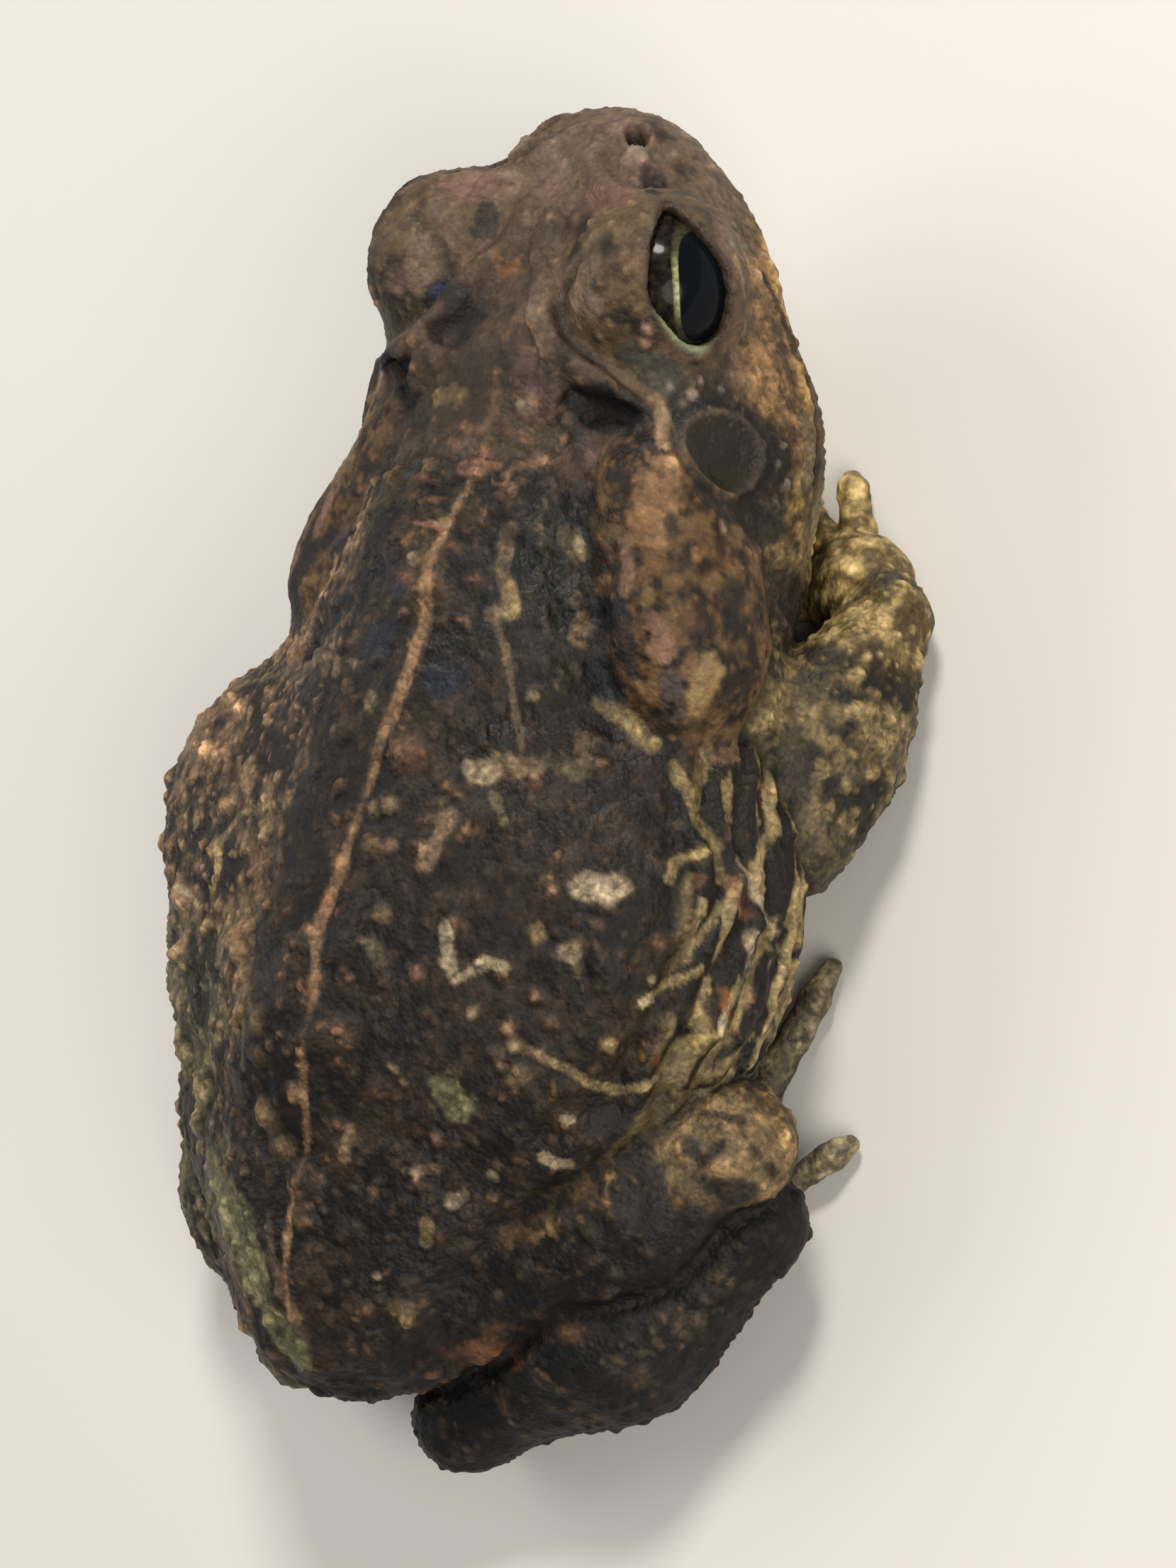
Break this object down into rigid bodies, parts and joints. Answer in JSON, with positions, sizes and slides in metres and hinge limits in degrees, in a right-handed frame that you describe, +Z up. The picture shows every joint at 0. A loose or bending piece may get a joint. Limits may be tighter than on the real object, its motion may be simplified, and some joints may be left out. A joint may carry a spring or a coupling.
{
  "type": "cane toad model",
  "caption": "Life-size still model of a cane toad resting on its belly, head raised, with warty skin, crested head and large glands behind the ears.",
  "frame": {"origin": "On the floor plane, under the middle of the belly, halfway between shoulders and hips.", "axes": "-Y points the way the head points, +Z is up and -X is the animal's right side."},
  "size_m": [0.0612, 0.1045, 0.0345],
  "materials": {
    "skin": "matt, finely granular and slightly moist",
    "head_skin": "matt, finely granular and slightly moist",
    "gland": "matt, swollen and pitted",
    "limb_skin": "matt, finely granular and slightly moist",
    "ear": "smooth, thin skin with a low sheen",
    "eye": "wet and glossy, dark pupil with a thin gold-green iris"
  },
  "bodies": {
    "root": {"head": "head_skin", "lower_jaw": "head_skin", "torso": "skin", "eye_right": "eye", "eye_left": "eye", "tympanum_right": "ear", "tympanum_left": "ear", "parotoid_right": "gland", "parotoid_left": "gland", "upper_arm_right": "limb_skin", "upper_arm_left": "limb_skin", "forearm_right": "limb_skin", "forearm_left": "limb_skin", "hand_right": "limb_skin", "hand_left": "limb_skin", "thigh_right": "limb_skin", "thigh_left": "limb_skin", "shank_right": "limb_skin", "shank_left": "limb_skin", "foot_right": "limb_skin", "foot_left": "limb_skin"}
  },
  "joints": []
}
